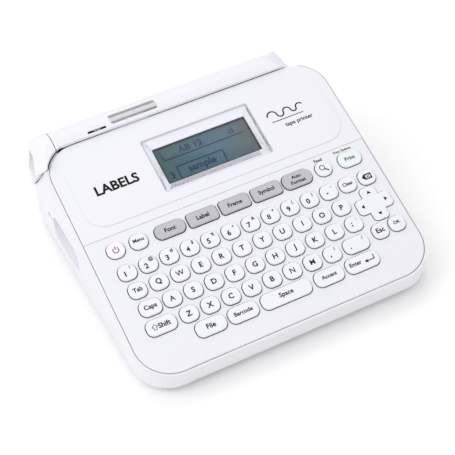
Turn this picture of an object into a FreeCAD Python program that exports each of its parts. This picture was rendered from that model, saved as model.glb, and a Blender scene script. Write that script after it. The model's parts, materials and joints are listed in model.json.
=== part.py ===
import FreeCAD, Part
import math
import os
from FreeCAD import Vector, Placement, Rotation

# Desktop label maker. X to the right, Y to the back, Z up, millimetres.
# The origin is on the surface it stands on, under the middle of its outline.

# Driving dimensions
key_tilt = 19.5            # slope of the keyboard face, degrees
panel_tilt = 17.7          # slope of the display face
front_y = -87.0            # front edge of the keyboard cover
seam_z = 18.5              # height of that edge
cover_half = 90.2          # half width of the two top covers
key_face_length = 90.0     # front edge to the crease, along the slope
panel_length = 64.5        # crease to the rear edge, along the slope
skin = 2.2                 # moulded wall of the covers
wall = 2.4                 # moulded wall of the lower case
base_z = 2.2               # underside of the lower case, on its feet
floor_z = base_z + 2.2     # inside of its floor
case_front_y = -88.4
case_rear_y = 88.4
rim = 1.1                  # lower case standing outside the covers
rim_drop = 0.5             # lower case rim below the face of the covers
gap = 0.4                  # visible seam between casings
crease_gap = 0.45          # seam between the two top covers
cover_gap = 0.2            # seam between the display cover and the tape cover
field_step = 0.4           # height of the raised field on the display cover
foot_radius = 5.5          # rounding under the outer walls
front_radius = 21.0
panel_radius = 19.5
side_draft = 0.045
rear_draft = 0.045
front_draft = 0.16
hump_radius = 21.0
hump_y, hump_z = 65.1, 51.0
cover_left, cover_right = -79.9, 79.6     # ends of the tape cover
hinge_y, hinge_z = 85.6, 8.4              # tape cover hinge
hinge_barrel = 2.4
pin_radius = 1.2
running_fit = 0.05
key_travel = 1.0
key_height = 1.3
key_gap = 0.5
wide_gap = 0.6             # round the grey function keys
key_flange = 0.2           # flange under the cover, beyond the gap
tape_z = 55.0              # height of the tape path
roller_x, roller_z = -76.0, 50.0
pivot_x, pivot_z = -63.5, 42.0            # roller holder pivot and idler gear
pinion_x, pinion_z = -62.0, 27.0
spindle_x, spindle_z = -42.0, 45.0
gear_y = 52.5
gear_width = 2.5
tooth_depth = 0.9
bay_front_y = 55.6         # front wall of the tape bay
bay_wall = 1.4

slope = math.radians(key_tilt)
crease_y = front_y + key_face_length * math.cos(slope)
crease_z = seam_z + key_face_length * math.sin(slope)
panel_slope = math.radians(panel_tilt)
panel_rear_y = crease_y + panel_length * math.cos(panel_slope)
panel_rear_z = crease_z + panel_length * math.sin(panel_slope)
to_keys = Placement(Vector(0, front_y, seam_z), Rotation(Vector(1, 0, 0), key_tilt))
to_panel = Placement(Vector(0, crease_y, crease_z), Rotation(Vector(1, 0, 0), panel_tilt))

# Keys: name, centre across, centre up the slope, width, length, corner radius
row_v = {"function": 80.0, "number": 64.9, "q": 52.8, "a": 40.6, "z": 28.6, "bottom": 17.2}
key_length = 9.5
letter_width = 10.4
letter_radius = 3.9
grey_width = 18.4          # the grey function keys
single_keys = [
    ("power_key", -74.9, row_v["function"], 10.4, 9.8, 4.5),
    ("menu_key", -60.8, row_v["function"], 10.4, 9.6, 4.3),
    ("font_key", -41.4, row_v["function"], grey_width, 8.8, 3.9),
    ("label_key", -20.9, row_v["function"], grey_width, 8.8, 1.9),
    ("frame_key", -0.3, row_v["function"], grey_width, 8.8, 1.9),
    ("symbol_key", 20.3, row_v["function"], grey_width, 8.8, 1.9),
    ("auto_format_key", 40.5, row_v["function"], grey_width, 9.6, 3.9),
    ("feed_key", 58.2, row_v["function"], 9.8, 9.6, 4.3),
    ("print_key", 75.9, row_v["function"], 14.6, 9.8, 4.3),
    ("clear_key", 66.3, row_v["number"], letter_width, key_length, letter_radius),
    ("backspace_key", 79.2, row_v["number"], letter_width, key_length, letter_radius),
    ("tab_key", -73.7, row_v["q"], letter_width, key_length, letter_radius),
    ("caps_key", -71.5, row_v["a"], 12.8, key_length, letter_radius),
    ("shift_key", -70.4, row_v["z"], 17.6, key_length, letter_radius),
    ("escape_key", 69.2, 30.5, 9.8, key_length, letter_radius),
    ("ok_key", 80.6, 31.0, 9.8, key_length, letter_radius),
    ("file_key", -45.8, row_v["bottom"], 18.0, key_length, letter_radius),
    ("barcode_key", -26.0, row_v["bottom"], 18.0, key_length, letter_radius),
    ("space_key", 0.9, row_v["bottom"], 31.0, key_length, letter_radius),
    ("accent_key", 28.2, row_v["bottom"], 18.0, key_length, letter_radius),
    ("enter_key", 49.8, row_v["bottom"], 20.8, key_length, letter_radius),
]
# Rows of character keys: name, row, first centre, pitch, number of keys, width of the last key
key_rows = [
    ("number_row_keys", "number", -74.5, 12.83, 11, letter_width),
    ("q_row_keys", "q", -60.7, 12.93, 10, letter_width),
    ("a_row_keys", "a", -58.2, 12.83, 10, letter_width),
    ("z_row_keys", "z", -53.6, 12.87, 9, 15.9),
]
wide_key_shift = 2.7       # the last key of the z row is wide and sits further out
arrow_x, arrow_v = 74.9, 47.9
arrow_span, arrow_arm = 11.1, 4.9
column_places = [(-76.0, -74.0), (76.0, -74.0), (-85.8, -6.0), (85.8, -6.0)]


def box(x0, x1, y0, y1, z0, z1):
    return Part.makeBox(x1 - x0, y1 - y0, z1 - z0, Vector(x0, y0, z0))


def rod(axis, x, y, z, radius, length):
    directions = {"x": Vector(1, 0, 0), "y": Vector(0, 1, 0), "z": Vector(0, 0, 1)}
    return Part.makeCylinder(radius, length, Vector(x, y, z), directions[axis])


def upright_edges(shape, test=lambda point: True):
    chosen = []
    for edge in shape.Edges:
        ends = [vertex.Point for vertex in edge.Vertexes]
        if len(ends) == 2 and abs(ends[0].z - ends[1].z) > 0.6 * edge.Length and test(ends[0]):
            chosen.append(edge)
    return chosen


def tablet(x0, x1, y0, y1, z0, z1, radius):
    block = box(x0, x1, y0, y1, z0, z1)
    return block.makeFillet(radius, upright_edges(block))


def side_pocket(y0, y1, z0, z1, radius, x0, x1):
    """Rounded rectangle seen from the side, from x0 to x1."""
    block = tablet(y0, y1, z0, z1, 0, x1 - x0, radius)
    block.Placement = Placement(Vector(x0, 0, 0), Rotation(Vector(1, 1, 1), 120))
    return block


def crowned(block, z_top, radius):
    edges = [e for e in block.Edges if all(abs(v.Point.z - z_top) < 1e-6 for v in e.Vertexes)]
    return block.makeFillet(radius, edges)


def placed(shape, place):
    copy = shape.copy()
    copy.Placement = place.multiply(copy.Placement)
    return copy


def yz_prism(points, x0, x1):
    """points: (y, z), or (y, z, mid_y, mid_z) for an arc arriving there."""
    edges = []
    last = Vector(x0, points[0][0], points[0][1])
    for point in points[1:] + points[:1]:
        here = Vector(x0, point[0], point[1])
        if len(point) == 4:
            edges.append(Part.Arc(last, Vector(x0, point[2], point[3]), here).toShape())
        elif (here - last).Length > 1e-6:
            edges.append(Part.LineSegment(last, here).toShape())
        last = here
    return Part.Face(Part.Wire(edges)).extrude(Vector(x1 - x0, 0, 0))


def xz_prism(points, y0, y1):
    edges = []
    last = Vector(points[0][0], y0, points[0][1])
    for point in points[1:] + points[:1]:
        here = Vector(point[0], y0, point[1])
        if len(point) == 4:
            edges.append(Part.Arc(last, Vector(point[2], y0, point[3]), here).toShape())
        elif (here - last).Length > 1e-6:
            edges.append(Part.LineSegment(last, here).toShape())
        last = here
    return Part.Face(Part.Wire(edges)).extrude(Vector(0, y1 - y0, 0))


def face_height(y, drop=0.0):
    """Height of the sloping top faces at y, moved down square to the face."""
    if y < crease_y:
        return seam_z + (y - front_y) * math.tan(slope) - drop / math.cos(slope)
    return crease_z + (y - crease_y) * math.tan(panel_slope) - drop / math.cos(panel_slope)


def side_x(y, z):
    """Half width of the drafted lower case."""
    return cover_half + rim + side_draft * (face_height(min(y, crease_y)) - z
                                            + max(0.0, y - crease_y) * math.tan(panel_slope))


def drafted_block(z0, z1, inset, rear_y, right_x=None):
    """Block with the case's leaning walls, from z0 to z1."""
    wires = []
    for z in (z0, z1):
        y_front = case_front_y + front_draft * (seam_z - z) + inset
        y_rear = rear_y - rear_draft * z - inset
        x_front = side_x(front_y, z) - inset
        x_rear = side_x(case_rear_y, z) - inset
        lean = (x_rear - x_front) / (case_rear_y - front_y)
        x_rear = x_front + lean * (y_rear - y_front)
        right = [x_front, x_rear] if right_x is None else [right_x - inset] * 2
        corners = [(-x_front, y_front), (right[0], y_front), (right[1], y_rear), (-x_rear, y_rear)]
        corners.append(corners[0])
        wires.append(Part.makePolygon([Vector(x, y, z) for x, y in corners]))
    return Part.makeLoft(wires, True, True)


def rounded_block(z0, z1, inset, rear_y, radii, right_x=None):
    """radii: front corners, rear right, rear left."""
    block = drafted_block(z0, z1, inset, rear_y, right_x)
    front, rear_right, rear_left = [r - inset for r in radii]
    block = block.makeFillet(front, upright_edges(block, lambda p: p.y < -40))
    block = block.makeFillet(rear_right, upright_edges(block, lambda p: p.y > 40 and p.x > 60))
    return block.makeFillet(rear_left, upright_edges(block, lambda p: p.y > 40 and p.x < -60))


def key_face_prism(grow, n0, n1):
    block = box(-cover_half - grow, cover_half + grow, -grow, key_face_length, n0, n1)
    edges = upright_edges(block, lambda p: p.y < 10)
    return placed(block.makeFillet(front_radius + grow, edges), to_keys)


def panel_prism(grow, n0, n1, start=0.0):
    block = box(-cover_half - grow, cover_half + grow, start, panel_length + grow, n0, n1)
    edges = upright_edges(block, lambda p: p.y > 30)
    return placed(block.makeFillet(panel_radius + grow, edges), to_panel)


def under_faces(drop, rear_limit=200.0):
    """Everything under the sloping faces, moved down by drop."""
    points = [(-150, -10), (-150, face_height(-150, drop)), (crease_y, face_height(crease_y, drop)),
              (rear_limit, face_height(rear_limit, drop)), (rear_limit, -10)]
    return yz_prism(points, -150, 150)


def hump(inset, x0, x1, y0, z0):
    """Side profile of the rounded rear, between x0 and x1."""
    r = hump_radius - inset
    rise = hump_z + r
    start_z = panel_rear_z - 0.2 - inset
    rear = case_rear_y - rear_draft * hump_z - inset
    foot = case_rear_y - rear_draft * z0 - inset
    points = [(y0, z0), (y0, start_z), (hump_y, rise, hump_y - 3.4, rise - 1.15),
              (rear, hump_z, hump_y + (rear - hump_y) * 0.7071, hump_z + r * 0.7071), (foot, z0)]
    return yz_prism(points, x0, x1)


# The curve where the exit housing meets the lower case on the left side
housing_z = 33.0


def below_housing(x0, x1, shift=0.0):
    points = [(20, 0), (20, 120), (48.5, 120), (48.5, 66.0),
              (77 - shift, housing_z, 60.0 - shift, 51.5 - shift), (120, housing_z), (120, 0)]
    return yz_prism(points, x0, x1)


def battery_centres():
    return [(-4.5 + 15.2 * i, 11.35) for i in range(6)]


def footed(block, z, radius):
    """Rounds the edges round the bottom of a block."""
    edges = [e for e in block.Edges if all(abs(v.Point.z - z) < 1e-4 for v in e.Vertexes)]
    return block.makeFillet(radius, edges)


def lower_case():
    wedge_rear = panel_rear_y + rim + rear_draft * panel_rear_z
    wedge = rounded_block(base_z, 90, 0, wedge_rear, (22.0, 20.6, 20.6)).common(under_faces(rim_drop))
    rear = rounded_block(base_z, 90, 0, case_rear_y, (22.0, 3.0, 9.0), 82.6)
    rear_left = rear.common(below_housing(-120, -80.2)).common(under_faces(rim_drop))
    rear_middle = rear.common(box(-80.3, 80.0, 40, 120, 0, 5.6))
    rear_right = rear.common(box(79.9, 120, 40, 120, 0, 48.0))
    outer = wedge.fuse([rear_left, rear_middle, rear_right])
    foot = footed(rounded_block(base_z, 90, -0.02, case_rear_y, (22.0, 9.0, 9.0)), base_z, foot_radius)
    outer = outer.common(foot)
    hollow = footed(rounded_block(floor_z, 91, wall, wedge_rear, (22.0, 20.6, 20.6)), floor_z,
                    foot_radius - wall)
    rear_hollow = rounded_block(floor_z, 91, wall, case_rear_y, (22.0, 3.0, 9.0), 82.6)
    middle_hollow = rear_hollow.common(box(-79.9, 79.7, bay_front_y + bay_wall, 120, floor_z, 120))
    left_hollow = rear_hollow.common(box(-120, -79.8, 40, 120, floor_z, 120)).cut(wedge)
    right_hollow = rear_hollow.common(box(79.6, 120, 40, 120, floor_z, 48.0 - wall)).cut(
        box(79.6, 82.3, 60, 120, floor_z, 60))
    shell = outer.cut([hollow, middle_hollow, left_hollow])
    # opening for the tape cover, its recess for the covers, and the wall at its right end
    shell = shell.cut([box(-80.2, 79.9, panel_rear_y + cover_gap, 120, 5.6, 120),
                       box(-79.8, 79.7, bay_front_y + bay_wall, 64, floor_z, 120),
                       key_face_prism(gap, -skin, 30), panel_prism(gap, -skin, 30, -3.0)])
    # battery bay with its opening in the floor
    bay = box(-14.0, 81.0, -9.5, 49.0, floor_z, 21.0).cut(box(-12.5, 79.5, -8.0, 47.5, 0, 19.5))
    shell = shell.fuse(bay)
    shell = shell.cut([box(-12.5, 79.5, -8.0, 47.5, 0, floor_z), box(-14.0, 81.0, -9.5, 49.0, 0, 4.0)])
    # columns for the case screws, posts for the main board, legs under the tape bay
    posts = [rod("z", x, y, floor_z, 2.2, 31.0 - floor_z) for x, y in ((-80, 3), (-77, 47.4))]
    posts += [rod("z", x, y, 20.5, 2.2, 10.5) for x, y in ((0, 5), (70, 5), (10, 45), (70, 45))]
    posts += [box(x - 1.0, x + 1.0, 60, 80, floor_z - 0.1, 8.0) for x in (-50, -15, 20)]
    for x, y in column_places:
        posts.append(rod("z", x, y, base_z, 3.6, face_height(y, skin) - 6.0 - base_z))
    lug_y = case_rear_y - rear_draft * hinge_z
    for x in (-82.2, cover_right + 0.35):
        lug = box(x, x + 1.9, hinge_y - 2.2, lug_y - 0.3, floor_z - 0.1, hinge_z)
        posts += [lug, rod("x", x, hinge_y, hinge_z, 2.2, 1.9)]
    shell = shell.fuse(posts)
    bores = [rod("z", x, y, 0, 1.6, 80) for x, y in column_places]
    bores += [rod("z", x, y, 0, 3.2, 6.0) for x, y in column_places]
    bores += [rod("x", -84.0, hinge_y, hinge_z, pin_radius, 4.0),
              rod("x", cover_right, hinge_y, hinge_z, pin_radius, 5.0)]
    shell = shell.cut(bores)
    # connector recess low in the left wall, with the two openings behind it
    recess = side_pocket(9, 49, 15, 32, 7.0, -96.5, -88.5)
    liner = box(-91.6, -86.5, 7, 51, 13, 34)
    case_block = rounded_block(base_z, 90, 0, case_rear_y, (22.0, 9.0, 9.0))
    shell = shell.fuse(liner.common(case_block)).cut(recess)
    shell = shell.cut([rod("x", -95, 38.5, 25.2, 3.1, 12), box(-95, -80, 18.2, 26.2, 25.6, 28.9)])
    return shell.removeSplitter()


def keyboard_cover():
    plate = box(-cover_half, cover_half, 0, key_face_length - crease_gap, -skin, 0)
    plate = plate.makeFillet(front_radius, upright_edges(plate, lambda p: p.y < 10))
    edges = [e for e in plate.Edges if all(abs(v.Point.z) < 1e-6 for v in e.Vertexes)
             and e.CenterOfMass.y < key_face_length - 2]
    plate = plate.makeFillet(0.8, edges)
    holes = [key_hole(*key) for key in all_keys()]
    holes.append(arrow_cross(0.45, -5, 5))
    plate = placed(plate.cut(holes), to_keys)
    bosses = []
    for x, y in column_places:
        top = face_height(y, skin)
        boss = rod("z", x, y, top - 6.0, 2.6, 7.0).common(under_faces(skin * 0.7))
        bosses.append(boss)
    plate = plate.fuse(bosses)
    holes = [rod("z", x, y, face_height(y, skin) - 8.0, 1.3, 7.5) for x, y in column_places]
    return plate.cut(holes).removeSplitter()


def all_keys():
    """Outline of every plain key: x, v, width, length, radius."""
    keys = [key[1:] for key in single_keys]
    for name, row, first, pitch, count, last_width in key_rows:
        keys += row_outlines(row, first, pitch, count, last_width)
    return keys


def row_outlines(row, first, pitch, count, last_width):
    outlines = []
    for i in range(count):
        x, width = first + pitch * i, letter_width
        if i == count - 1 and last_width > letter_width:
            x, width = x + wide_key_shift, last_width
        outlines.append((x, row_v[row], width, key_length, letter_radius))
    return outlines


def outline_prism(x, v, width, length, radius, grow, n0, n1):
    return tablet(x - width / 2 - grow, x + width / 2 + grow, v - length / 2 - grow,
                  v + length / 2 + grow, n0, n1, min(radius + grow, length / 2 + grow - 0.05))


def gap_round(width):
    return wide_gap if width == grey_width else key_gap


def key_hole(x, v, width, length, radius):
    return outline_prism(x, v, width, length, radius, gap_round(width), -skin - 1, 1)


def key_cap(x, v, width, length, radius):
    cap = outline_prism(x, v, width, length, radius, 0, -skin - 0.2, key_height)
    cap = crowned(cap, key_height, 0.55)
    reach = gap_round(width) + key_flange
    flange = outline_prism(x, v, width, length, radius, reach, -skin - 1.2, -skin - 0.2)
    stem = rod("z", x, v, -skin - 1.5, 1.6, 0.6)
    return placed(cap.fuse([flange, stem]).removeSplitter(), to_keys)


def arrow_cross(grow, n0, n1):
    a, s = arrow_arm + grow, arrow_span + grow
    across = tablet(arrow_x - s, arrow_x + s, arrow_v - a, arrow_v + a, n0, n1, 2.6 + grow)
    along = tablet(arrow_x - a, arrow_x + a, arrow_v - s, arrow_v + s, n0, n1, 2.6 + grow)
    return across.fuse(along).removeSplitter()


def arrow_pad():
    cross = arrow_cross(0, -skin - 0.8, 1.0)
    return placed(crowned(cross, 1.0, 0.4), to_keys)


def arrow_pivot():
    return placed(rod("z", arrow_x, arrow_v, -4.7, 3.0, 1.4), to_keys)


def keypad_sheet():
    sheet = box(-87, 87, 24, 88.0, -6.6, -5.4).fuse(box(-60, 66, 10, 25, -6.6, -5.4))
    domes = [rod("z", x, v, -5.5, 2.4, 0.5) for x, v, w, l, r in all_keys()]
    sheet = placed(sheet.fuse(domes).removeSplitter(), to_keys)
    return sheet.cut([rod("z", x, y, 0, 4.0, 80) for x, y in column_places]).removeSplitter()


def key_board():
    board = box(-87, 87, 24, 88.0, -8.2, -6.6).fuse(box(-60, 66, 10, 25, -8.2, -6.6))
    board = placed(board.removeSplitter(), to_keys)
    return board.cut([rod("z", x, y, 0, 4.0, 80) for x, y in column_places])


# Display, in the plane of its panel: x, w up the slope, n out of it
lens_frame = (-33.0, 37.0, 12.6, 50.4)
glass_view = (-28.2, 31.4, 18.2, 42.4)
collar = 0.5               # width of the gasket round the view


def display_cover():
    block = box(-cover_half, cover_half, 0.0, panel_length, -skin, 0)
    block = block.makeFillet(panel_radius, upright_edges(block, lambda p: p.y > 30))
    edges = [e for e in block.Edges if all(abs(v.Point.z) < 1e-6 for v in e.Vertexes)
             and e.CenterOfMass.y > 2]
    block = block.makeFillet(0.4, edges)
    x0, x1, w0, w1 = lens_frame
    pocket = tablet(x0 - 0.1, x1 + 0.1, w0 - 0.1, w1 + 0.1, -1.1, 1, 1.6)
    block = block.cut([pocket, view_prism(collar + 0.1, -5, 1)])
    field = tablet(-82.5, 84.0, 6.0, 57.0, -1, 2, 13.0)
    surround = box(-200, 200, -5, 80, -field_step, 1).cut(field)
    return placed(block.cut(surround), to_panel)


def view_prism(grow, n0, n1):
    x0, x1, w0, w1 = glass_view
    return tablet(x0 - grow, x1 + grow, w0 - grow, w1 + grow, n0, n1, 0.3 + grow)


def display_lens():
    x0, x1, w0, w1 = lens_frame
    return placed(tablet(x0, x1, w0, w1, -1.1, -0.05, 1.5), to_panel)


def lcd_module():
    x0, x1, w0, w1 = glass_view
    return placed(box(x0 - 2.6, x1 + 2.6, w0 - 2.4, w1 + 2.4, -4.4, -skin - 0.1), to_panel)


def lcd_frame():
    x0, x1, w0, w1 = glass_view
    frame = box(x0 - 5, x1 + 5, w0 - 5, w1 + 5, -7.0, -skin)
    frame = frame.cut(box(x0 - 2.7, x1 + 2.7, w0 - 2.5, w1 + 2.5, -4.4, 0))
    # black gasket on the glass, up to the lens
    gasket = view_prism(collar, -skin - 0.08, -1.12).cut(view_prism(0, -5, 0))
    return Part.makeCompound([placed(frame, to_panel), placed(gasket, to_panel)])


def rear_corner(side, x_end, radius, spread, inset):
    """Plan of one rear corner of the hump, round at the top and squarer lower down."""
    reach = 60.0
    x, y = x_end - side * inset, case_rear_y - rear_draft * hump_z - inset
    r = radius - inset
    diagonal = r * (1 - math.sqrt(0.5))
    height = hump_z + hump_radius + 1
    near_corner, far_corner = Vector(x, y - reach, height), Vector(x - side * reach, y, height)
    start, end = Vector(x, y - r, height), Vector(x - side * r, y, height)
    turn = Part.Arc(start, Vector(x - side * diagonal, y - diagonal, height), end)
    runs = [(near_corner, start), (end, far_corner), (far_corner, Vector(x - side * reach, y - reach, height)),
            (Vector(x - side * reach, y - reach, height), near_corner)]
    edges = [Part.LineSegment(a, b).toShape() for a, b in runs]
    plan = Part.Face(Part.Wire(Part.sortEdges(edges + [turn.toShape()])[0]))
    corner = plan.extrude(Vector(side * spread, spread, -height))
    inner_x = x_end - side * 30
    return corner.fuse(box(min(inner_x, -150 * side), max(inner_x, -150 * side), 0, 120, 0, 90))


def hump_end(inset, z0):
    """Section across the machine with the rounded right end of the tape cover."""
    r = 20.0 - inset
    x, z = cover_right - 20.0, hump_z + hump_radius - 20.0
    return [(cover_left, z0), (cover_left, z + r), (x, z + r),
            (x + r, z, x + r * 0.7071, z + r * 0.7071), (x + r, z0)]


window_face = (-43.4, -13.4, 61.4, 68.6)


def tape_cover():
    y0 = panel_rear_y + cover_gap
    outer = hump(0, cover_left, cover_right, y0 - 4.0, hinge_z).common(xz_prism(hump_end(0, 0), 40, 120))
    # its front edge runs straight behind the display cover and round that cover's left corner
    wedge_rear = panel_rear_y + rim + rear_draft * panel_rear_z
    wedge = rounded_block(base_z, 90, -gap, wedge_rear, (22.0, 20.6, 20.6))
    ahead = box(-120, 120, 0, y0, 0, 90)
    outer = outer.cut([ahead.common(wedge), box(-70, 120, 0, y0, 0, 90)])
    inner = hump(2.0, cover_left - 1, cover_right, y0 - 9, 0).common(
        xz_prism([(-120, -1), (-120, 100)] + hump_end(2.0, -1)[2:], 40, 120))
    shell = outer.common(rear_corner(1, cover_right, 20.0, 9.0, 0)).cut(
        inner.common(rear_corner(1, cover_right, 20.0, 9.0, 2.0)))
    barrel = rod("x", cover_left, hinge_y, hinge_z, hinge_barrel, cover_right - cover_left)
    shell = shell.fuse(barrel)
    x0, x1, w0, w1 = window_face
    shell = shell.cut([tablet(x0, x1, w0, w1, 60, 80, 1.2), panel_prism(0.35, -4.0, 6.0)])
    bores = [rod("x", cover_left - 1, hinge_y, hinge_z, pin_radius + running_fit, 10),
             rod("x", cover_right - 9, hinge_y, hinge_z, pin_radius + running_fit, 10)]
    return shell.cut(bores).removeSplitter()


def tape_window():
    x0, x1, w0, w1 = window_face
    pane = hump(0.7, x0 - 3, x1 + 3, w0 - 1, 40).cut(hump(1.9, x0 - 4, x1 + 4, w0 - 3, 30))
    return pane.common(tablet(x0, x1, w0, w1, 60, 80, 1.2))


def exit_shape(inset):
    """Outer or inner form of the block at the tape exit."""
    x0, x1 = -95.0 + inset, cover_left - 0.5
    form = hump(inset, -120, x1 + (5 if inset else 0), 45, 20)
    form = form.fuse(box(-120, x1 + (5 if inset else 0), 40, panel_rear_y + 1, 20, 90).common(
        under_faces(rim_drop + inset)))
    corner = [(x1 + (5 if inset else 0), 20), (x1 + (5 if inset else 0), 71.6 - inset),
              (x1, 71.6 - inset), (x0, 55.0, -90.3 + 0.7 * inset, 67.0 - 0.7 * inset), (x0 + 0.4, 20)]
    form = form.common(xz_prism(corner, 30, 120))
    return form.common(rear_corner(-1, -95.0, 22.0, 6.0, inset)).common(box(x0, 150, 0, 120, 0, 90))


def exit_housing():
    shell = exit_shape(0).cut(below_housing(-150, 0, -gap))
    wedge_rear = panel_rear_y + rim + gap + rear_draft * panel_rear_z
    wedge = rounded_block(base_z, 90, -gap, wedge_rear - gap, (22.0, 20.6, 20.6))
    shell = shell.cut(wedge)
    # thick behind the scoop for the fingers
    inner = exit_shape(2.0).cut(box(-96, -89.0, 58, 86, 42, 66))
    scoop = side_pocket(60.5, 78.5, 48.0, 64.0, 7.4, -98.6, -90.6)
    slot = box(-100, -70, 62.0, 77.0, tape_z - 1.3, tape_z + 1.7)
    foot = box(-110, cover_left - 0.5, 40, 120, 20, housing_z)
    return shell.cut([inner, scoop, slot, foot])


grip_x = 33.5


def battery_cover():
    plate = box(-13.85, 80.85, -9.35, 48.85, base_z, 4.0)
    # grip for the thumb: shallow grooves across the front end
    grooves = [box(grip_x - 12, grip_x + 12, -6.0 + 2.0 * i, -5.0 + 2.0 * i, base_z - 1, base_z + 0.4)
               for i in range(5)]
    return plate.cut(grooves)


def battery_cells():
    cells = []
    for x, z in battery_centres():
        cells.append(rod("y", x, -4.5, z, 7.2, 49.0).fuse(rod("y", x, 44.5, z, 2.7, 1.5)))
    return Part.makeCompound(cells)


def battery_terminals():
    pieces = []
    for x, z in battery_centres():
        plate = rod("y", x, -8.0, z, 4.8, 0.5)
        turns = [rod("y", x, -7.6 + 0.9 * i, z, 3.6 - 0.5 * i, 1.0) for i in range(3)]
        pieces.append(plate.fuse(turns + [rod("y", x, -5.0, z, 2.0, 0.5)]).removeSplitter())
        pieces.append(rod("y", x, 46.0, z, 4.8, 1.5))
    return Part.makeCompound(pieces)


def main_board():
    board = box(-86, 78, -2, 20, 31.0, 32.6).fuse([box(-48, 78, 19, 50, 31.0, 32.6),
                                                   box(-86, -72, 19, 50, 31.0, 32.6)])
    chips = [box(10, 24, 8, 22, 32.6, 34.0), box(40, 48, 10, 18, 32.6, 33.8),
             box(-30, -18, 4, 16, 32.6, 34.2)]
    return board.fuse(chips).removeSplitter()


def dc_jack():
    body = box(-86.4, -75.0, 33.9, 43.1, 20.6, 31.0)
    return body.cut(rod("x", -87, 38.5, 25.2, 2.75, 9)).fuse(rod("x", -86.0, 38.5, 25.2, 0.8, 9.5))


def usb_socket():
    shell = box(-86.4, -80.0, 18.4, 26.0, 25.8, 31.0).cut(box(-87, -81, 18.8, 25.6, 26.2, 28.7))
    return shell.fuse(box(-86.0, -80.5, 20.2, 24.2, 27.2, 27.8)).removeSplitter()


def tape_bay():
    front = box(-77.2, 36, bay_front_y, bay_front_y + bay_wall, 8, 70)
    floor = box(-58, 36, bay_front_y, 82.0, 8, 9.4)
    right = box(34.6, 36, bay_front_y, 82.0, 8, 62)
    left = box(-58, -56.6, bay_front_y, 82.0, 8, 32)
    bay = front.fuse([floor, right, left]).common(under_faces(skin))
    bay = bay.common(hump(3.0, -120, 120, 20, 0).fuse(box(-120, 120, 20, 61, 0, 90)))
    back_clear = Part.makeCylinder(6.5, 20, Vector(30, 84, 8.4), Vector(1, 0, 0))
    post = rod("y", pivot_x, gear_y - 0.3, pivot_z, 1.5, 30.2)
    swing = rod("y", roller_x, 50, roller_z, 3.6, 20).fuse(
        rod("y", roller_x - 1, 50, roller_z - 1.8, 3.6, 20))
    holes = [rod("y", spindle_x, 50, spindle_z, 2.0 + running_fit, 20), swing, back_clear,
             box(-72.5, -51.5, 40, bay_front_y + 5, 15.5, 21.5)]
    return bay.cut(holes).fuse(post).removeSplitter()


def print_head():
    sink = box(-77.2, -74.8, bay_front_y + bay_wall, 79.5, 57.0, 62.0)
    bar = box(-76.6, -75.4, 60.5, 79.5, tape_z + 0.25, 57.0)
    foot = box(-77.1, -70.5, bay_front_y + bay_wall, 58.4, 57.0, 63.0)
    return sink.fuse([bar, foot]).removeSplitter()


def swing_plate(y0, y1):
    """Side plate of the roller holder from its pivot to the roller shaft."""
    r = 3.0
    dx, dz = roller_x - pivot_x, roller_z - pivot_z
    length = math.hypot(dx, dz)
    plate = box(0, length, -r, r, 0, y1 - y0).fuse([rod("z", 0, 0, 0, r, y1 - y0),
                                                   rod("z", length, 0, 0, r, y1 - y0)])
    turn = Rotation(Vector(1, 0, 0), Vector(dx, 0, dz).normalize())
    flat = Rotation(Vector(1, 0, 0), 90)
    plate.Placement = Placement(Vector(pivot_x, y1, pivot_z), turn.multiply(flat))
    return plate


def roller_holder():
    front = swing_plate(58.6, 59.8)
    rear = swing_plate(80.6, 81.8)
    tie = rod("y", -68.6, 59.5, 42.9, 1.3, 21.4)
    holder = front.fuse([rear, tie])
    holes = [rod("y", pivot_x, 50, pivot_z, 1.5 + running_fit, 40),
             rod("y", roller_x, 50, roller_z, 1.2 + running_fit, 40)]
    return holder.cut(holes)


def platen_roller():
    return rod("y", roller_x, gear_y, roller_z, 1.2, 29.7).fuse(
        rod("y", roller_x, 60.4, roller_z, 4.7, 19.6)).removeSplitter()


def gear(x, z, pitch_radius, teeth, bore):
    """Spur gear about an axis along Y; its teeth stop short of the next gear's."""
    tip = pitch_radius
    root = pitch_radius - tooth_depth
    points = []
    for i in range(teeth):
        for part, radius in ((0.0, root), (0.22, root), (0.36, tip), (0.64, tip), (0.78, root)):
            angle = 2 * math.pi * (i + part) / teeth
            points.append(Vector(x + radius * math.cos(angle), gear_y, z + radius * math.sin(angle)))
    points.append(points[0])
    body = Part.Face(Part.makePolygon(points)).extrude(Vector(0, gear_width, 0))
    return body.cut(rod("y", x, gear_y - 1, z, bore, gear_width + 2)) if bore else body


def platen_gear():
    return gear(roller_x, roller_z, 4.9, 15, 1.2)


def idler_gear():
    return gear(pivot_x, pivot_z, 9.8, 30, 1.5 + running_fit)


def motor_pinion():
    shaft = rod("y", pinion_x, 44.0, pinion_z, 1.0, 10.0)
    return gear(pinion_x, pinion_z, 5.1, 15, 0).fuse(shaft).removeSplitter()


def feed_motor():
    can = rod("y", pinion_x, 24.0, pinion_z, 7.8, 26.5).fuse(
        rod("y", pinion_x, 50.0, pinion_z, 3.0, 1.5))
    bore = rod("y", pinion_x, 43.5, pinion_z, 1.0 + running_fit, 12)
    saddle = box(-70, -54, 26, 48, floor_z, 27.0).cut(rod("y", pinion_x, 20, pinion_z, 7.8, 40))
    saddle = saddle.cut(box(-67, -57, 20, 60, floor_z - 1, 16.0))
    return can.cut(bore).fuse(saddle).removeSplitter()


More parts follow.
